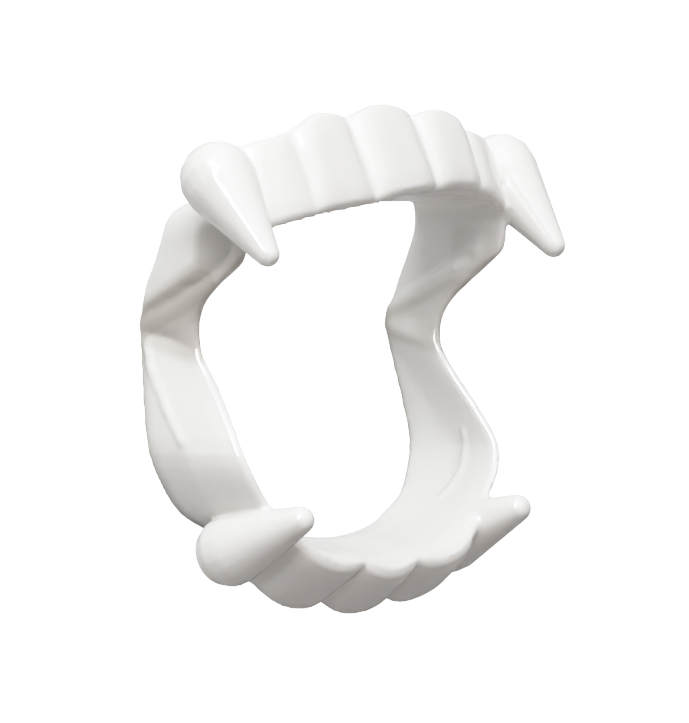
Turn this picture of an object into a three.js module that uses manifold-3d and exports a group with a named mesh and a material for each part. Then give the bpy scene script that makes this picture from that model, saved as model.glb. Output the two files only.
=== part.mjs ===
// Toy vampire teeth: one moulded ring of white plastic with an upper and a lower row of teeth.
// Lengths are millimetres. The ring is shaped upright first, with out to the side, forward out of
// the mouth and up to the upper jaw, all measured from the two kinks at the back of the side bands.
// It is then laid down on the straight back edges of its lower side bands, teeth upward.

import * as THREE from 'three';
import { mergeVertices } from 'three/addons/utils/BufferGeometryUtils.js';
import Module from 'manifold-3d';

// Ring of side bands and bite plates
const sideReach = 20; // middle of the mouth to a side band at its kink
const bandReach = 16.8; // kink forward to the front edge of the lower bite plate
const upperRise = 13.1; // kink up to the upper bite plate
const lowerDrop = 22; // kink down to the back edge of the lower bite plate
const bandThickness = 1.4;
const bandLift = 1; // how far the middle of a band can stand off the line between its edges

// Upper row of teeth
const upperOverhang = 2.3; // biting edge forward of bandReach
const upperGumHeight = 21.8; // kink up to the gum edge
const upperWallThickness = 1.5;
const upperToothBulge = 1.5;
const biteSlant = 6; // degrees that the upper biting edge runs out of level at its middle
const jawTwist = 1.1; // degrees that the soft ring is warped, so that the upper row sits askew

// Lower row of teeth
const lowerOverhang = 0.1;
const lowerGumDepth = 28.2;
const lowerWallThickness = 1.5;
const lowerToothBulge = 1.5;

// Fangs
const upperFangLength = 10.4; // between the centres of its root and tip domes
const upperFangRoot = 4;
const upperFangTip = 1.3;
const upperFangLean = 41; // degrees forward from straight down
const upperFangSplay = 2; // degrees outward
const lowerFangLength = 10;
const lowerFangRoot = 3.8;
const lowerFangTip = 1.5;
const lowerFangLean = 70; // degrees forward from straight up
const lowerFangSplay = 0;

// Back edge
const restRun = 0.25; // share of bandReach that the lower back edges come forward by lowerDrop
const footTrim = 0.45; // taken off the back edges where they rest, to make them flat
const trimMargin = 2; // the trimming block is this many times as wide as the ring and as deep as the trim

// Fineness of the faceted surfaces
const ringSteps = 3; // facets between two rows of the ring
const ringAcross = 6;
const toothSteps = 5; // facets on half a tooth
const toothUp = 6;
const fangSides = 20;
const domeSteps = 4;

// One side of the ring from the middle of the lower bite plate up to the middle of the upper one.
// Out is a share of sideReach, forward of bandReach, up of upperRise above the kink and of
// lowerDrop below it, and lift of bandLift. Start and ridge are where the lift begins and peaks, as
// shares of the way from the back edge to the front edge. A row with no start lifts from its back
// edge on, and a row with no backForward lies on the rest line.
const ringRows = [
  { backOut: 0.00, backForward: 0.49, backUp: -1.02, lift: 0.0, ridge: 0.50,
    frontOut: 0.00, frontForward: 0.99, frontUp: -1.12 },
  { backOut: 0.21, backForward: 0.45, backUp: -1.01, lift: 0.0, ridge: 0.50,
    frontOut: 0.22, frontForward: 0.98, frontUp: -1.10 },
  { backOut: 0.43, backForward: 0.37, backUp: -0.99, lift: 0.1, ridge: 0.50,
    frontOut: 0.48, frontForward: 0.99, frontUp: -1.07 },
  { backOut: 0.61, backForward: 0.30, backUp: -0.96, lift: 0.2, ridge: 0.50,
    frontOut: 0.67, frontForward: 0.96, frontUp: -0.99 },
  { backOut: 0.76, backForward: 0.24, backUp: -0.91, lift: 0.3, ridge: 0.50,
    frontOut: 0.79, frontForward: 0.93, frontUp: -0.91 },
  { backOut: 0.90, backUp: -0.84, lift: 0.5, ridge: 0.50,
    frontOut: 0.90, frontForward: 0.90, frontUp: -0.81 },
  { backOut: 0.99, backUp: -0.73, lift: 0.7, ridge: 0.50,
    frontOut: 0.99, frontForward: 0.89, frontUp: -0.70 },
  { backOut: 1.06, backUp: -0.57, lift: 0.8, ridge: 0.50,
    frontOut: 1.04, frontForward: 0.84, frontUp: -0.57 },
  { backOut: 1.05, backUp: -0.37, lift: 0.7, ridge: 0.33,
    frontOut: 1.01, frontForward: 0.68, frontUp: -0.37 },
  { backOut: 1.02, backUp: -0.18, lift: 0.5, ridge: 0.17,
    frontOut: 0.98, frontForward: 0.54, frontUp: -0.22 },
  { backOut: 1.00, backUp: -0.04, lift: 0.2, ridge: 0.17,
    frontOut: 0.98, frontForward: 0.46, frontUp: -0.13 },
  { backOut: 1.00, backUp: 0.00, lift: -0.6, ridge: 0.50,
    frontOut: 0.98, frontForward: 0.43, frontUp: -0.08 },
  { backOut: 1.00, backForward: 0.00, backUp: 0.04, lift: 0.1, ridge: 0.50,
    frontOut: 0.99, frontForward: 0.43, frontUp: 0.06 },
  { backOut: 1.00, backForward: 0.01, backUp: 0.07, lift: 0.2, ridge: 0.50,
    frontOut: 1.01, frontForward: 0.50, frontUp: 0.22 },
  { backOut: 1.00, backForward: 0.01, backUp: 0.10, lift: 0.0, ridge: 0.50,
    frontOut: 1.03, frontForward: 0.63, frontUp: 0.36 },
  { backOut: 1.00, backForward: 0.02, backUp: 0.13, lift: -0.4, ridge: 0.67,
    frontOut: 1.05, frontForward: 0.77, frontUp: 0.49 },
  { backOut: 1.01, backForward: 0.03, backUp: 0.16, lift: -1.2, ridge: 0.67,
    frontOut: 1.06, frontForward: 0.87, frontUp: 0.60 },
  { backOut: 1.02, backForward: 0.05, backUp: 0.22, lift: -1.0, start: 0.50, ridge: 0.83,
    frontOut: 1.06, frontForward: 0.89, frontUp: 0.69 },
  { backOut: 1.03, backForward: 0.10, backUp: 0.40, lift: -0.7, start: 0.50, ridge: 0.83,
    frontOut: 1.05, frontForward: 0.91, frontUp: 0.77 },
  { backOut: 1.03, backForward: 0.17, backUp: 0.58, lift: -0.3, start: 0.33, ridge: 0.83,
    frontOut: 1.03, frontForward: 0.92, frontUp: 0.84 },
  { backOut: 1.03, backForward: 0.23, backUp: 0.77, lift: 0.0, ridge: 0.67,
    frontOut: 1.00, frontForward: 0.94, frontUp: 0.91 },
  { backOut: 1.00, backForward: 0.26, backUp: 0.93, lift: 0.0, ridge: 0.50,
    frontOut: 0.95, frontForward: 0.97, frontUp: 0.99 },
  { backOut: 0.90, backForward: 0.32, backUp: 1.02, lift: 0.0, ridge: 0.50,
    frontOut: 0.86, frontForward: 0.99, frontUp: 1.04 },
  { backOut: 0.45, backForward: 0.45, backUp: 1.05, lift: 0.0, ridge: 0.50,
    frontOut: 0.48, frontForward: 1.07, frontUp: 1.11 },
  { backOut: 0.00, backForward: 0.50, backUp: 1.06, lift: 0.0, ridge: 0.50,
    frontOut: 0.00, frontForward: 1.10, frontUp: 1.12 },
];

// Half of each tooth row from its middle out to the root of the fang. The rows alternate between
// the middle of a tooth, where bulge is above zero, and a groove. Out is a share of sideReach,
// forward of the row's reach and bulge of its tooth bulge. The biting edge's up is a share of
// upperRise or lowerDrop, as the bite plates' are, and the gum edge's of the gum height or depth.
const upperTeeth = [
  { edgeOut: 0.00, edgeForward: 1.00, edgeUp: 1.10, gumOut: 0.00, gumForward: 0.77, gumUp: 1.04, bulge: 1 },
  { edgeOut: 0.25, edgeForward: 0.99, edgeUp: 1.09, gumOut: 0.26, gumForward: 0.79, gumUp: 1.00, bulge: 0 },
  { edgeOut: 0.48, edgeForward: 0.96, edgeUp: 1.07, gumOut: 0.49, gumForward: 0.77, gumUp: 1.01, bulge: 0.9 },
  { edgeOut: 0.67, edgeForward: 0.94, edgeUp: 1.04, gumOut: 0.69, gumForward: 0.78, gumUp: 0.94, bulge: 0 },
  { edgeOut: 0.85, edgeForward: 0.90, edgeUp: 0.97, gumOut: 0.85, gumForward: 0.75, gumUp: 0.90, bulge: 0.4 },
  { edgeOut: 0.98, edgeForward: 0.85, edgeUp: 0.91, gumOut: 0.97, gumForward: 0.70, gumUp: 0.88, bulge: 0 },
  { edgeOut: 1.10, edgeForward: 0.82, edgeUp: 0.92, gumOut: 1.10, gumForward: 0.66, gumUp: 0.85, bulge: 0 },
];
const lowerTeeth = [
  { edgeOut: 0.00, edgeForward: 1.00, edgeUp: -1.13, gumOut: 0.00, gumForward: 0.63, gumUp: -1.00, bulge: 1 },
  { edgeOut: 0.22, edgeForward: 0.99, edgeUp: -1.10, gumOut: 0.25, gumForward: 0.65, gumUp: -0.98, bulge: 0 },
  { edgeOut: 0.48, edgeForward: 1.00, edgeUp: -1.08, gumOut: 0.48, gumForward: 0.63, gumUp: -0.97, bulge: 0.9 },
  { edgeOut: 0.69, edgeForward: 0.97, edgeUp: -1.00, gumOut: 0.73, gumForward: 0.65, gumUp: -0.92, bulge: 0 },
  { edgeOut: 0.80, edgeForward: 0.92, edgeUp: -0.94, gumOut: 0.84, gumForward: 0.64, gumUp: -0.88, bulge: 0 },
];

// Root centre of each fang, out as a share of sideReach, forward of its row's reach, and up of
// upperRise or lowerDrop
const upperFangRootPlace = { out: 1.155, forward: 0.70, up: 1.24 };
const lowerFangRootPlace = { out: 0.89, forward: 0.61, up: -1.03 };

// Rounding of the edges and teeth
const edgeSlimming = 0.75; // thickness left at a rounded edge
const edgeRounding = 0.4; // share of the thickness that a rounded edge stands out
const ridgeRounding = 0.2; // 0 makes a sharp ridge along a band, 1 a round one
const toothSquareness = 4; // higher makes a flatter tooth with steeper flanks
const bulgeAtBite = 0.45; // share of a tooth's bulge left at its biting edge

const wasm = await Module();
wasm.setup();

// Upright place of a point from its out, forward and up lengths
const upright = (out, forward, up) => new THREE.Vector3(out, up, forward);

// A row's rows for both sides: the far side mirrored, then this side from the middle out
function mirrored(rows, mirror) {
  return [...rows.slice(1).reverse().map(mirror), ...rows];
}

function ringSection(row, side) {
  const rise = (share) => share * (share > 0 ? upperRise : lowerDrop);
  const backForward = row.backForward ?? -row.backUp * restRun;
  return {
    back: upright(side * row.backOut * sideReach, backForward * bandReach, rise(row.backUp)),
    front: upright(side * row.frontOut * sideReach, row.frontForward * bandReach, rise(row.frontUp)),
    lift: row.lift * bandLift,
    start: row.start ?? 0,
    ridge: row.ridge,
  };
}

// Closed surface through a grid of points, columns[i][j], that closes on itself round j, and also
// round i or with a fan of triangles over each end
function gridGeometry(columns, closed) {
  const across = columns[0].length;
  const positions = columns.flat().flatMap((point) => point.toArray());
  const indices = [];
  const last = closed ? columns.length : columns.length - 1;
  for (let i = 0; i < last; i += 1) {
    const next = (i + 1) % columns.length;
    for (let j = 0; j < across; j += 1) {
      const beside = (j + 1) % across;
      const [near, far] = [i * across, next * across];
      indices.push(near + j, far + j, far + beside);
      indices.push(near + j, far + beside, near + beside);
    }
  }
  if (!closed) {
    for (const [column, turn] of [[0, 1], [columns.length - 1, -1]]) {
      const middle = columns[column].reduce((sum, point) => sum.add(point), new THREE.Vector3());
      const centre = positions.push(...middle.divideScalar(across).toArray()) / 3 - 1;
      for (let j = 0; j < across; j += 1) {
        const edge = [column * across + j, column * across + (j + 1) % across];
        indices.push(centre, ...(turn > 0 ? edge : edge.reverse()));
      }
    }
  }
  const geometry = new THREE.BufferGeometry();
  geometry.setAttribute('position', new THREE.Float32BufferAttribute(positions, 3));
  geometry.setIndex(indices);
  return geometry;
}

function solidOf(geometry) {
  const bare = geometry.clone();
  bare.deleteAttribute('normal');
  bare.deleteAttribute('uv');
  const merged = mergeVertices(bare);
  const vertProperties = new Float32Array(merged.attributes.position.array);
  const triVerts = new Uint32Array(merged.index.array);
  return new wasm.Manifold(new wasm.Mesh({ numProp: 3, vertProperties, triVerts }));
}

function geometryOf(solid) {
  const mesh = solid.getMesh();
  const geometry = new THREE.BufferGeometry();
  geometry.setAttribute('position', new THREE.BufferAttribute(new Float32Array(mesh.vertProperties), 3));
  geometry.setIndex(new THREE.BufferAttribute(new Uint32Array(mesh.triVerts), 1));
  return geometry;
}

// Points of a wall's closed section: its outer side, its far edge, its inner side and its near edge
function wallSection(spine, normals, thickness, bulges) {
  const count = spine.length;
  const half = (index) => (index === 0 || index === count - 1 ? edgeSlimming : 1) * thickness / 2;
  const outer = spine.map((point, j) => point.clone().addScaledVector(normals[j], half(j) + bulges[j]));
  const inner = spine.map((point, j) => point.clone().addScaledVector(normals[j], -half(j)));
  const edgePoint = (end, before) => {
    const away = spine[end].clone().sub(spine[before]).normalize();
    const centre = outer[end].clone().lerp(inner[end], 1 / 2);
    return centre.addScaledVector(away, edgeRounding * thickness);
  };
  const farEdge = edgePoint(count - 1, count - 2);
  const nearEdge = edgePoint(0, 1);
  return [...outer, farEdge, ...inner.reverse(), nearEdge];
}

// Normal at each point of a grid of spines, along crossed with across
function spineNormals(spines, closed) {
  const count = spines.length;
  return spines.map((spine, i) => spine.map((point, j) => {
    const before = spines[closed ? (i + count - 1) % count : Math.max(i - 1, 0)][j];
    const after = spines[closed ? (i + 1) % count : Math.min(i + 1, count - 1)][j];
    const across = spine[Math.min(j + 1, spine.length - 1)].clone().sub(spine[Math.max(j - 1, 0)]);
    return after.clone().sub(before).cross(across).normalize();
  }));
}

// The ring: a band that runs down one side, along a bite plate, up the other side and back
function ringSolid() {
  const near = ringRows.map((row) => ringSection(row, 1));
  const far = ringRows.slice(1, -1).reverse().map((row) => ringSection(row, -1));
  const sections = [...near, ...far];
  const smooth = (points) => new THREE.CatmullRomCurve3(points, true, 'centripetal');
  const backCurve = smooth(sections.map((section) => section.back));
  const frontCurve = smooth(sections.map((section) => section.front));
  const steps = sections.length * ringSteps;
  const spines = [];
  const lifts = [];
  const starts = [];
  const ridges = [];
  for (let i = 0; i < steps; i += 1) {
    const back = backCurve.getPoint(i / steps);
    const front = frontCurve.getPoint(i / steps);
    const row = Math.floor(i / ringSteps);
    const share = i / ringSteps - row;
    const next = (row + 1) % sections.length;
    lifts.push(THREE.MathUtils.lerp(sections[row].lift, sections[next].lift, share));
    starts.push(THREE.MathUtils.lerp(sections[row].start, sections[next].start, share));
    ridges.push(THREE.MathUtils.lerp(sections[row].ridge, sections[next].ridge, share));
    const spine = [];
    for (let j = 0; j <= ringAcross; j += 1) spine.push(back.clone().lerp(front, j / ringAcross));
    spines.push(spine);
  }
  const flat = spineNormals(spines, true);
  const lifted = spines.map((spine, i) => spine.map((point, j) => {
    const way = j / ringAcross;
    const rising = Math.max(0, (way - starts[i]) / (ridges[i] - starts[i]));
    const tent = Math.min(rising, (1 - way) / (1 - ridges[i]));
    const arch = THREE.MathUtils.lerp(tent, Math.sin(Math.PI / 2 * tent), ridgeRounding);
    return point.clone().addScaledVector(flat[i][j], lifts[i] * arch);
  }));
  const normals = spineNormals(lifted, true);
  const bulges = new Array(ringAcross + 1).fill(0);
  const columns = lifted.map((spine, i) => wallSection(spine, normals[i], bandThickness, bulges));
  return solidOf(gridGeometry(columns, true));
}

// A row of teeth: a wall from its biting edge to its gum edge, with a bulge for each tooth
function toothRowSolid(rows, size) {
  const mirror = (row) => ({ ...row, edgeOut: -row.edgeOut, gumOut: -row.gumOut });
  const all = mirrored(rows, mirror);
  const place = (out, forward, up) => upright(out * sideReach, forward * size.reach, up);
  const smooth = (points) => new THREE.CatmullRomCurve3(points, false, 'centripetal');
  const slant = Math.tan(THREE.MathUtils.degToRad(size.slant));
  const edges = all.map((row) => place(row.edgeOut, row.edgeForward, row.edgeUp * size.plate));
  const gums = all.map((row) => place(row.gumOut, row.gumForward, row.gumUp * size.gum));
  const edgeCurve = smooth(edges);
  const gumCurve = smooth(gums);
  const steps = (all.length - 1) * toothSteps;
  const spines = [];
  const bulges = [];
  for (let i = 0; i <= steps; i += 1) {
    const edge = edgeCurve.getPoint(i / steps);
    edge.y += edge.x * slant * (1 - (edge.x / edges[0].x) ** 2);
    const gum = gumCurve.getPoint(i / steps);
    const row = Math.min(Math.floor(i / toothSteps), all.length - 2);
    const share = i / toothSteps - row;
    const fullness = Math.max(all[row].bulge, all[row + 1].bulge);
    const fromMiddle = all[row].bulge > 0 ? share : 1 - share;
    const bulge = fullness * size.bulge * (1 - fromMiddle ** toothSquareness);
    const spine = [];
    const column = [];
    for (let j = 0; j <= toothUp; j += 1) {
      spine.push(edge.clone().lerp(gum, j / toothUp));
      column.push(bulge * THREE.MathUtils.lerp(bulgeAtBite, 1, Math.sin(Math.PI / 2 * j / toothUp)));
    }
    spines.push(spine);
    bulges.push(column);
  }
  const normals = spineNormals(spines, false);
  const facing = size.gum * rows[0].gumUp > 0 ? 1 : -1;
  normals.flat().forEach((normal) => normal.multiplyScalar(facing));
  const columns = spines.map((spine, i) => wallSection(spine, normals[i], size.thickness, bulges[i]));
  return solidOf(gridGeometry(facing > 0 ? columns : columns.reverse(), false));
}

// A fang: a cone between a large root dome and a small tip dome, along +Y from its root centre
function fangGeometry(length, root, tip) {
  const taper = Math.asin((root - tip) / length);
  const profile = [];
  const dome = (centre, radius, start, end) => {
    for (let i = 0; i <= domeSteps; i += 1) {
      const angle = THREE.MathUtils.lerp(start, end, i / domeSteps);
      profile.push(new THREE.Vector2(radius * Math.cos(angle), centre + radius * Math.sin(angle)));
    }
  };
  const pole = Math.PI / 2;
  dome(0, root, -pole, taper);
  dome(length, tip, taper, pole);
  profile[0].x = 0;
  profile[profile.length - 1].x = 0;
  return new THREE.LatheGeometry(profile, fangSides);
}

function fangSolid(side, fang) {
  const geometry = fangGeometry(fang.length, fang.root, fang.tip);
  const lean = THREE.MathUtils.degToRad(fang.lean);
  const splay = THREE.MathUtils.degToRad(fang.splay);
  const rise = fang.place.up > 0 ? -1 : 1;
  const out = side * Math.sin(splay);
  const axis = upright(out, Math.sin(lean) * Math.cos(splay), rise * Math.cos(lean) * Math.cos(splay));
  const turn = new THREE.Quaternion().setFromUnitVectors(new THREE.Vector3(0, 1, 0), axis);
  geometry.applyQuaternion(turn);
  const { place, reach, plate } = fang;
  const root = upright(side * place.out * sideReach, place.forward * reach, place.up * plate);
  geometry.translate(...root.toArray());
  return solidOf(geometry);
}

const upperReach = bandReach + upperOverhang;
const lowerReach = bandReach + lowerOverhang;
const upperRow = {
  reach: upperReach,
  plate: upperRise,
  gum: upperGumHeight,
  thickness: upperWallThickness,
  bulge: upperToothBulge,
  slant: biteSlant,
};
const lowerRow = {
  reach: lowerReach,
  plate: lowerDrop,
  gum: lowerGumDepth,
  thickness: lowerWallThickness,
  bulge: lowerToothBulge,
  slant: 0,
};
const upperFang = {
  length: upperFangLength,
  root: upperFangRoot,
  tip: upperFangTip,
  lean: upperFangLean,
  splay: upperFangSplay,
  place: upperFangRootPlace,
  reach: upperReach,
  plate: upperRise,
};
const lowerFang = {
  length: lowerFangLength,
  root: lowerFangRoot,
  tip: lowerFangTip,
  lean: lowerFangLean,
  splay: lowerFangSplay,
  place: lowerFangRootPlace,
  reach: lowerReach,
  plate: lowerDrop,
};

let denture = ringSolid();
denture = denture.add(toothRowSolid(upperTeeth, upperRow));
denture = denture.add(toothRowSolid(lowerTeeth, lowerRow));
for (const side of [-1, 1]) {
  denture = denture.add(fangSolid(side, upperFang));
  denture = denture.add(fangSolid(side, lowerFang));
}

// The warp turns what lies above the kinks about the forward line, the more the higher it is
const geometry = geometryOf(denture);
const places = geometry.attributes.position;
for (let i = 0; i < places.count; i += 1) {
  const point = new THREE.Vector3().fromBufferAttribute(places, i);
  const share = THREE.MathUtils.smoothstep(point.y, 0, upperRise);
  point.applyAxisAngle(new THREE.Vector3(0, 0, 1), share * THREE.MathUtils.degToRad(jawTwist));
  places.setXYZ(i, point.x, point.y, point.z);
}

// Laid on its lower back edges: forward becomes up, and the rest line becomes level
const restTilt = Math.atan2(restRun * bandReach, lowerDrop);
geometry.rotateX(restTilt);
geometry.computeBoundingBox();
const reachBox = geometry.boundingBox;
const middle = reachBox.getCenter(new THREE.Vector3());
geometry.translate(-middle.x, -middle.y, -reachBox.min.z - footTrim);
const size = reachBox.getSize(new THREE.Vector3());
const blockDepth = trimMargin * footTrim;
const floorBlock = new THREE.BoxGeometry(trimMargin * size.x, trimMargin * size.y, blockDepth);
floorBlock.translate(0, 0, -blockDepth / 2);
const rested = solidOf(geometry).subtract(solidOf(floorBlock));

const whitePlastic = new THREE.MeshStandardMaterial({ color: 0xf1f1ec, roughness: 0.25, metalness: 0 });
const fangDenture = new THREE.Mesh(geometryOf(rested), whitePlastic);
fangDenture.name = 'fang_denture';

const group = new THREE.Group();
group.add(fangDenture);

export default group;
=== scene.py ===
import math
import bmesh
import bpy
from mathutils import Matrix, Vector
from mathutils.bvhtree import BVHTree


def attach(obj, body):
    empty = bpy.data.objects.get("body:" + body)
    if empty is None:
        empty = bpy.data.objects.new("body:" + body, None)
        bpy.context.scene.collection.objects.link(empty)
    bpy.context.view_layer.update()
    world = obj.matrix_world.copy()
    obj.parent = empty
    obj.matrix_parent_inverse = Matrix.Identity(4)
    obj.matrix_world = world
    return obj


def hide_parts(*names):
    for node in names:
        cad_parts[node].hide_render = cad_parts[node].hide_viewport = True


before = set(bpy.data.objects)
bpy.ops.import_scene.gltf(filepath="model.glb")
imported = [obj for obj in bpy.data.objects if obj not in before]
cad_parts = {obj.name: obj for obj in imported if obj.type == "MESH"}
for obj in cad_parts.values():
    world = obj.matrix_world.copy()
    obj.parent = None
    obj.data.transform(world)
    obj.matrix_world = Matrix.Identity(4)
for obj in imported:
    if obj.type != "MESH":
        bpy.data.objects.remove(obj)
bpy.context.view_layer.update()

mm = 0.001
scene = bpy.context.scene

# The ring was shaped upright, with the photo's axes, and then laid down by this lean. The sizes are
# the CAD source's own, in mm.
restRun = 0.25
bandReach = 16.8
lowerDrop = 22
lean = math.atan2(restRun * bandReach, lowerDrop)
sideAxis = Vector((1, 0, 0))
upAxis = Vector((0, math.cos(lean), math.sin(lean)))
forwardAxis = Vector((0, -math.sin(lean), math.cos(lean)))
kink = Vector((0.306, 5.681, 0)) * mm  # half way between the two kinks of the side bands


def upright(out, forward, up):
    return kink + (sideAxis * out + forwardAxis * forward + upAxis * up) * mm


class Value:
    # a socket's value, so that Math nodes can be written as sums
    def __init__(self, tree, socket):
        self.tree = tree
        self.socket = socket

    def joined(self, operation, first, second):
        return self.tree.node("ShaderNodeMath", {"operation": operation}, {0: first, 1: second})

    def __add__(self, other):
        return self.joined("ADD", self, other)

    def __radd__(self, other):
        return self.joined("ADD", other, self)

    def __sub__(self, other):
        return self.joined("SUBTRACT", self, other)

    def __rsub__(self, other):
        return self.joined("SUBTRACT", other, self)

    def __mul__(self, other):
        return self.joined("MULTIPLY", self, other)

    def __rmul__(self, other):
        return self.joined("MULTIPLY", other, self)

    def __truediv__(self, other):
        return self.joined("DIVIDE", self, other)

    def __rtruediv__(self, other):
        return self.joined("DIVIDE", other, self)


class Tree:
    # makes a node from its type, its settings and what its sockets hold or are linked to
    def __init__(self, tree):
        self.tree = tree

    def node(self, kind, settings=None, inputs=None, output=0):
        made = self.tree.nodes.new(kind)
        for name, setting in (settings or {}).items():
            setattr(made, name, setting)
        for name, held in (inputs or {}).items():
            if isinstance(held, Value):
                self.tree.links.new(held.socket, made.inputs[name])
            else:
                made.inputs[name].default_value = held
        return Value(self, made.outputs[output]) if made.outputs else None


def newMaterial(name):
    material = bpy.data.materials.new(name)
    material.use_nodes = True
    material.node_tree.nodes.clear()
    return material, Tree(material.node_tree)


# White plastic

plasticLook = {
    "white": (0.86, 0.86, 0.845, 1),
    "thickWhite": (0.83, 0.828, 0.81, 1),
    "creaseShadeColour": (0.54, 0.51, 0.475, 1),  # painted shade: the colour the plastic darkens to where it folds and less light gets in
    "creaseReach": 3 * mm,
    "creaseSamples": 12,
    "creaseStart": 0.1,  # openness where the painted shade is full
    "creaseEnd": 0.78,  # and where it has gone
    "foldShadeStrength": 1.5,  # how strongly the folds and hollows take the painted shade
    "cloudSize": 90,
    "cloudDetail": 3,
    "roughness": 0.19,
    "roughnessSpread": 0.06,
    "bending": 1.5,  # index of refraction
    "glow": 0.25,
    "glowDepth": 1.8 * mm,
    "glowReach": (1.0, 0.92, 0.82),  # how far red, green and blue get, as shares of the depth
    "waveHeight": 0.035 * mm,
    "waveSize": 260,
    "waveDetail": 1,
    "grainHeight": 0.0015 * mm,
    "grainSize": 2600,
    "grainDetail": 2,
}
noiseMean = 0.5


def makePlastic(look):
    material, paint = newMaterial("whitePlastic")
    place = paint.node("ShaderNodeTexCoord", output="Object")

    def noise(size, detail):
        return paint.node("ShaderNodeTexNoise", {}, {"Vector": place, "Scale": size, "Detail": detail})

    clouds = noise(look["cloudSize"], look["cloudDetail"])
    waves = noise(look["waveSize"], look["waveDetail"])
    grain = noise(look["grainSize"], look["grainDetail"])
    body = mixed(paint, clouds, look["white"], look["thickWhite"])
    # painted shade: the colour darkens towards the crease shade colour where ambient occlusion finds the
    # surface closed in, in creases and folds
    opening = paint.node(
        "ShaderNodeAmbientOcclusion",
        {"samples": look["creaseSamples"]},
        {"Distance": look["creaseReach"]},
        "AO",
    )
    openness = paint.node(
        "ShaderNodeMapRange",
        {"interpolation_type": "SMOOTHSTEP"},
        {"Value": opening, "From Min": look["creaseStart"], "From Max": look["creaseEnd"]},
    )
    creaseShaded = mixed(paint, openness, look["creaseShadeColour"], body)
    # painted shade: the colour darkens towards the crease shade colour near the folds and hollows that
    # the ring's tree marks
    shade = paint.node("ShaderNodeAttribute", {"attribute_name": "foldShade"}, output="Fac")
    colour = mixed(paint, shade * look["foldShadeStrength"], creaseShaded, look["creaseShadeColour"])
    relief = waves * look["waveHeight"] + grain * look["grainHeight"]
    bump = paint.node("ShaderNodeBump", {}, {"Height": relief, "Distance": 1.0, "Strength": 1.0})
    shader = paint.node(
        "ShaderNodeBsdfPrincipled",
        {"subsurface_method": "RANDOM_WALK"},
        {
            "Base Color": colour,
            "Roughness": look["roughness"] + (clouds - noiseMean) * look["roughnessSpread"],
            "IOR": look["bending"],
            "Subsurface Weight": look["glow"],
            "Subsurface Radius": look["glowReach"],
            "Subsurface Scale": look["glowDepth"],
            "Normal": bump,
        },
    )
    paint.node("ShaderNodeOutputMaterial", {}, {"Surface": shader})
    return material


def mixed(paint, factor, first, second):
    made = paint.tree.nodes.new("ShaderNodeMix")
    made.data_type = "RGBA"
    colours = [s for s in made.inputs if s.type == "RGBA"]
    for socket, held in ((made.inputs[0], factor), (colours[0], first), (colours[1], second)):
        if isinstance(held, Value):
            paint.tree.links.new(held.socket, socket)
        else:
            socket.default_value = held
    return Value(paint, next(s for s in made.outputs if s.type == "RGBA"))


whitePlastic = makePlastic(plasticLook)
print("plastic ready")


# The moulded ring

ringLook = {
    "weld": 0.001 * mm,
    "skinStep": 0.28 * mm,
    "passes": 15,
    "ease": 0.6,
    "putBack": 0.62,  # after each pass, so that the ring keeps its size
    "ridgeHeight": 0.28 * mm,
    "ridgeReach": 0.75 * mm,
    "guideStep": 0.3 * mm,
    "shadeOut": 0.7 * mm,  # the painted shade's patches sit this far towards the outer side, where the folds are hollow
    "shadeStart": 0.9 * mm,
    "shadeReach": 1.2 * mm,
}

# Thin ridges along the lower bands, the first on their outer side and the second on their inner
# side: out, forward and up from the kinks, in mm
ridgeLines = [
    [(21.6, 1.2, -1.5), (22.4, 3.6, -5.5), (22.8, 7.6, -11.3)],
    [(18.2, 9.7, -11.8), (17.8, 10.3, -13.9), (16.8, 9.5, -17.1)],
]

# Painted shade, where little light gets in: the colour is darkened near the triangle that each side
# band folds over at its kink, and near the crease above it with the hollow below the fang
foldFaces = [
    [(20, 0.4, 0.5), (20.6, 9.4, 4.6), (20.4, 8.0, 2.4), (19.6, 7.4, -1.6)],
]
hollowFaces = [
    [(20.6, 0.6, 1.0), (20.9, 5.6, 3.7), (20.8, 5.5, 3.2)],
    [(20.9, 5.6, 3.7), (20.9, 10.2, 6.2), (20.9, 10.4, 5.6), (20.8, 5.5, 3.2)],
    [(20.9, 10.2, 6.0), (20.6, 10.2, 10), (20.6, 13.6, 10), (20.9, 13.8, 7.0)],
]


def mergedCopy(node, name, weld):
    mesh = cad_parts[node].data.copy()
    mesh.name = name
    work = bmesh.new()
    work.from_mesh(mesh)
    bmesh.ops.remove_doubles(work, verts=work.verts, dist=weld)
    work.to_mesh(mesh)
    work.free()
    piece = bpy.data.objects.new(name, mesh)
    scene.collection.objects.link(piece)
    return piece


def plainMesh(source, name):
    ready = source.evaluated_get(bpy.context.evaluated_depsgraph_get())
    mesh = bpy.data.meshes.new_from_object(ready)
    mesh.name = name
    piece = bpy.data.objects.new(name, mesh)
    scene.collection.objects.link(piece)
    bpy.data.objects.remove(source)
    return piece


def guideLines(name, lines, surface, step):
    # the lines on both sides of the ring, drawn finely and laid on its surface
    corners = []
    edges = []
    for line in lines:
        for side in (-1, 1):
            places = [upright(side * out, forward, up) for out, forward, up in line]
            for first, last in zip(places, places[1:]):
                count = max(2, round((last - first).length / step))
                for i in range(count + 1):
                    point = surface.find_nearest(first.lerp(last, i / count))[0]
                    if i > 0:
                        edges.append((len(corners) - 1, len(corners)))
                    corners.append(point)
    mesh = bpy.data.meshes.new(name)
    mesh.from_pydata(corners, edges, [])
    guide = bpy.data.objects.new(name, mesh)
    scene.collection.objects.link(guide)
    return guide


def guideFaces(name, faces, shadeOut):
    # the painted shade's patches on both sides of the ring, moved out from the middle of its wall
    corners = []
    patches = []
    for face in faces:
        for side in (-1, 1):
            patches.append(range(len(corners), len(corners) + len(face)))
            corners += [upright(side * (out + shadeOut / mm), forward, up) for out, forward, up in face]
    mesh = bpy.data.meshes.new(name)
    mesh.from_pydata(corners, [], patches)
    guide = bpy.data.objects.new(name, mesh)
    scene.collection.objects.link(guide)
    return guide


def socketOf(tree, name):
    for item in tree.interface.items_tree:
        if item.name == name and item.in_out == "INPUT":
            return item.identifier


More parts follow.
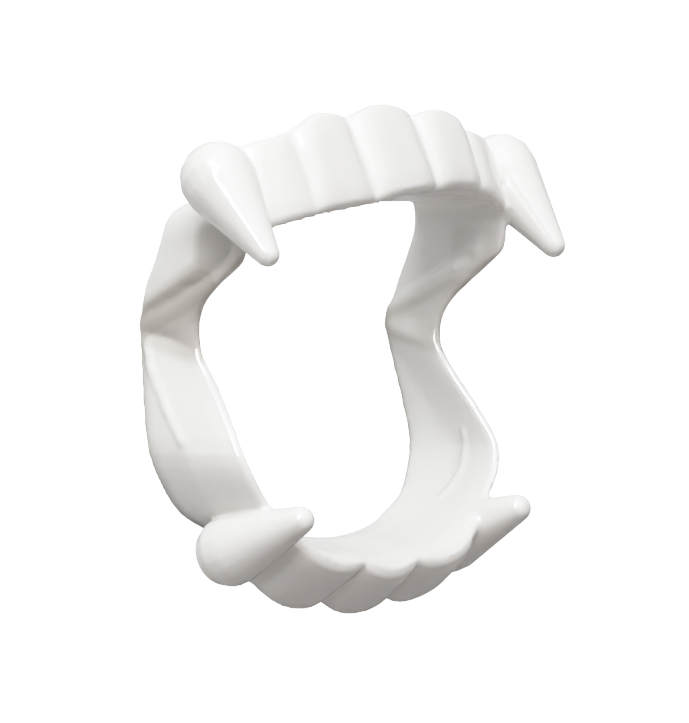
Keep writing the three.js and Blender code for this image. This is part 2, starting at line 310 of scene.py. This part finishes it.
def blurred(form, value):
    made = form.tree.nodes.new("GeometryNodeBlurAttribute")
    made.data_type = "FLOAT_VECTOR"
    form.tree.links.new(value.socket, next(s for s in made.inputs if s.type == "VECTOR" and s.enabled))
    made.inputs["Iterations"].default_value = 1
    return Value(form, next(s for s in made.outputs if s.type == "VECTOR" and s.enabled))


def eased(form, geometry, share):
    # every point moves a share of the way to the middle of its neighbours, or away from it
    place = form.node("GeometryNodeInputPosition")
    middle = blurred(form, place)
    step = form.node("ShaderNodeVectorMath", {"operation": "SUBTRACT"}, {0: middle, 1: place})
    move = form.node("ShaderNodeVectorMath", {"operation": "SCALE"}, {0: step, "Scale": share})
    return form.node("GeometryNodeSetPosition", {}, {"Geometry": geometry, "Offset": move})


def nearness(form, guide, target, start, reach):
    # 1 up to start from the guide, and 0 from start plus reach on
    inPlace = {"transform_space": "ORIGINAL"}
    held = form.node("GeometryNodeObjectInfo", inPlace, {"Object": guide}, "Geometry")
    away = form.node("GeometryNodeProximity", {"target_element": target}, {"Geometry": held}, "Distance")
    return form.node("ShaderNodeClamp", {}, {"Value": 1 - (away - start) / reach})


def makeSkinTree():
    tree = bpy.data.node_groups.new("mouldedSkin", "GeometryNodeTree")
    kinds = {
        "Geometry": "NodeSocketGeometry",
        "Passes": "NodeSocketInt",
        "Ease": "NodeSocketFloat",
        "Put Back": "NodeSocketFloat",
        "Ridges": "NodeSocketObject",
        "Ridge Height": "NodeSocketFloat",
        "Ridge Reach": "NodeSocketFloat",
        "Folds": "NodeSocketObject",
        "Hollows": "NodeSocketObject",
        "Shade Start": "NodeSocketFloat",
        "Shade Reach": "NodeSocketFloat",
        "Material": "NodeSocketMaterial",
    }
    for name, kind in kinds.items():
        tree.interface.new_socket(name, in_out="INPUT", socket_type=kind)
    tree.interface.new_socket("Geometry", in_out="OUTPUT", socket_type="NodeSocketGeometry")
    form = Tree(tree)
    entry = tree.nodes.new("NodeGroupInput")
    given = {name: Value(form, entry.outputs[name]) for name in kinds}

    start = tree.nodes.new("GeometryNodeRepeatInput")
    end = tree.nodes.new("GeometryNodeRepeatOutput")
    start.pair_with_output(end)
    tree.links.new(given["Passes"].socket, start.inputs["Iterations"])
    tree.links.new(given["Geometry"].socket, start.inputs["Geometry"])
    softer = eased(form, Value(form, start.outputs["Geometry"]), given["Ease"])
    fuller = eased(form, softer, 0 - given["Put Back"])
    tree.links.new(fuller.socket, end.inputs["Geometry"])
    smooth = Value(form, end.outputs["Geometry"])

    ridge = nearness(form, given["Ridges"], "EDGES", 0, given["Ridge Reach"]) * given["Ridge Height"]
    normal = form.node("GeometryNodeInputNormal")
    lift = form.node("ShaderNodeVectorMath", {"operation": "SCALE"}, {0: normal, "Scale": ridge})
    raised = form.node("GeometryNodeSetPosition", {}, {"Geometry": smooth, "Offset": lift})

    # painted shade: how near each point is to the fold and hollow patches, stored so that the plastic
    # darkens its colour there
    fold = nearness(form, given["Folds"], "FACES", given["Shade Start"], given["Shade Reach"])
    hollow = nearness(form, given["Hollows"], "FACES", given["Shade Start"], given["Shade Reach"])
    noted = form.node(
        "GeometryNodeStoreNamedAttribute",
        {"data_type": "FLOAT", "domain": "POINT"},
        {"Geometry": raised, "Name": "foldShade", "Value": (fold + hollow) / 2},
    )
    shaded = form.node("GeometryNodeSetShadeSmooth", {}, {"Geometry": noted})
    real = form.node("GeometryNodeRealizeInstances", {}, {"Geometry": shaded})
    painted = form.node("GeometryNodeSetMaterial", {}, {"Geometry": real, "Material": given["Material"]})
    result = tree.nodes.new("NodeGroupOutput")
    tree.links.new(painted.socket, result.inputs["Geometry"])
    return tree


def makeRing(look):
    rough = mergedCopy("fang_denture", "roughRing", look["weld"])
    surface = BVHTree.FromObject(rough, bpy.context.evaluated_depsgraph_get())
    ridges = guideLines("ridges", ridgeLines, surface, look["guideStep"])
    folds = guideFaces("folds", foldFaces, look["shadeOut"])
    hollows = guideFaces("hollows", hollowFaces, look["shadeOut"])
    skin = rough.modifiers.new("skin", "REMESH")
    skin.mode = "VOXEL"
    skin.voxel_size = look["skinStep"]
    skin.use_smooth_shade = True
    tree = makeSkinTree()
    finish = rough.modifiers.new("finish", "NODES")
    finish.node_group = tree
    held = {
        "Passes": look["passes"],
        "Ease": look["ease"],
        "Put Back": look["putBack"],
        "Ridges": ridges,
        "Ridge Height": look["ridgeHeight"],
        "Ridge Reach": look["ridgeReach"],
        "Folds": folds,
        "Hollows": hollows,
        "Shade Start": look["shadeStart"],
        "Shade Reach": look["shadeReach"],
        "Material": whitePlastic,
    }
    for name, value in held.items():
        finish[socketOf(tree, name)] = value
    ring = plainMesh(rough, "mouldedTeeth")
    for guide in (ridges, folds, hollows):
        bpy.data.objects.remove(guide)
    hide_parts("fang_denture")
    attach(ring, "root")
    print("ring", len(ring.data.polygons), "faces")


makeRing(ringLook)


# Camera

cameraLook = {
    "turn": 50,  # degrees round the ring's upright axis, from straight in front
    "rise": 1.5,
    "distance": 800 * mm,
    "pixelsPerMm": 9.5,
    "centreRight": 78.5,  # pixels from the kinks to the picture's centre
    "centreDown": 34,
    "middleForward": 6.4,  # the ring's middle is this far in front of the kinks, seen from the camera
    "longSide": 723,
    "sensorWidth": 36,
    "nearest": 10 * mm,
    "farthest": 20,
}


def viewAxes(look):
    turn = math.radians(look["turn"])
    rise = math.radians(look["rise"])
    level = forwardAxis * math.cos(turn) - sideAxis * math.sin(turn)
    toward = level * math.cos(rise) + upAxis * math.sin(rise)
    right = sideAxis * math.cos(turn) + forwardAxis * math.sin(turn)
    return right, toward.cross(right), toward


right, above, toward = viewAxes(cameraLook)


def makeCamera(look):
    data = bpy.data.cameras.new("camera")
    data.sensor_width = look["sensorWidth"]
    data.lens = look["pixelsPerMm"] * look["distance"] / mm / look["longSide"] * look["sensorWidth"]
    data.clip_start = look["nearest"]
    data.clip_end = look["farthest"]
    camera = bpy.data.objects.new("camera", data)
    target = kink + (right * look["centreRight"] - above * look["centreDown"]) / look["pixelsPerMm"] * mm
    target += toward * look["middleForward"] * mm
    turned = Matrix((right, above, toward)).transposed().to_4x4()
    camera.matrix_world = Matrix.Translation(target + toward * look["distance"]) @ turned
    scene.collection.objects.link(camera)
    scene.camera = camera
    return target


target = makeCamera(cameraLook)
print("camera ready")


# Floor, lights and surroundings

studioLook = {
    "floorWhite": (0.5, 0.5, 0.5, 1),
    "floorRoughness": 0.9,
    "floorGlow": (0.05, 0.05, 0.05, 1),  # the floor is a light table
    "floorSeen": (2.05, 2.05, 2.05, 1),  # the camera sees it brighter than the ring does
    "floorSize": 6,
    "brightest": 2,  # what the picture shows as full white
    "shoulder": [(0, 0), (0.15, 0.3), (0.3, 0.6), (0.4, 0.76), (0.5, 0.85), (0.65, 0.93), (1, 1)],
}

# Places and sizes are in metres, and places are taken from the ring. A lamp with no height is square.
studioLights = {
    "aboveLight": {"right": 0, "above": 0.9, "toward": 0.05, "size": 0.45, "power": 1.8},
    "keyLight": {"right": 0, "above": 0.65, "toward": 0.65, "size": 0.8, "power": 9},
    "rightLight": {"right": 0.45, "above": 0.45, "toward": 0.6, "size": 0.9, "power": 4.6},
    "leftLight": {"right": -0.35, "above": 0.75, "toward": 0.5, "size": 0.3, "power": 0.5},
    "lowLight": {
        "right": 0.4, "above": -0.55, "toward": 0.6, "size": 0.45, "power": 1, "tint": (1, 0.8, 0.74),
    },
    "glossLight": {
        "right": -0.2, "above": 0.42, "toward": 0.76, "size": 0.05, "height": 0.55, "power": 20,
        "glossOnly": True,
    },
}


def makeFloor(look):
    half = look["floorSize"] / 2
    mesh = bpy.data.meshes.new("floor")
    corners = [(-half, -half, 0), (half, -half, 0), (half, half, 0), (-half, half, 0)]
    mesh.from_pydata(corners, [], [(0, 1, 2, 3)])
    floor = bpy.data.objects.new("floor", mesh)
    scene.collection.objects.link(floor)
    material, paint = newMaterial("paleFloor")
    seen = paint.node("ShaderNodeLightPath", output="Is Camera Ray")
    shader = paint.node(
        "ShaderNodeBsdfPrincipled",
        {},
        {
            "Base Color": look["floorWhite"],
            "Roughness": look["floorRoughness"],
            "Emission Color": mixed(paint, seen, look["floorGlow"], look["floorSeen"]),
            "Emission Strength": 1,
        },
    )
    paint.node("ShaderNodeOutputMaterial", {}, {"Surface": shader})
    mesh.materials.append(material)


def makeLamp(name, light):
    data = bpy.data.lights.new(name, "AREA")
    data.shape = "RECTANGLE"
    data.size = light["size"]
    data.size_y = light.get("height", light["size"])
    data.energy = light["power"]
    data.color = light.get("tint", (1, 1, 1))
    lamp = bpy.data.objects.new(name, data)
    place = right * light["right"] + above * light["above"] + toward * light["toward"]
    lamp.location = target + place
    away = place.normalized()
    across = above.cross(away).normalized()
    lamp.rotation_mode = "QUATERNION"
    lamp.rotation_quaternion = Matrix((across, away.cross(across), away)).transposed().to_quaternion()
    lamp.visible_camera = False
    lamp.visible_diffuse = not light.get("glossOnly")
    scene.collection.objects.link(lamp)


def holdBackLightTones(look):
    # as a camera does, so that gloss still shows on white
    picture = scene.view_settings
    picture.view_transform = "Standard"
    picture.look = "None"
    picture.use_curve_mapping = True
    tones = picture.curve_mapping
    tones.white_level = [look["brightest"]] * 3
    points = tones.curves[3].points
    while len(points) < len(look["shoulder"]):
        points.new(0.5, 0.5)
    for point, place in zip(points, look["shoulder"]):
        point.location = place
    tones.update()


def makeStudio(look, lights):
    makeFloor(look)
    world = bpy.data.worlds.new("studio")
    world.use_nodes = True
    world.node_tree.nodes["Background"].inputs["Strength"].default_value = 0
    scene.world = world
    for name, light in lights.items():
        makeLamp(name, light)
    holdBackLightTones(look)


makeStudio(studioLook, studioLights)
print("studio ready")
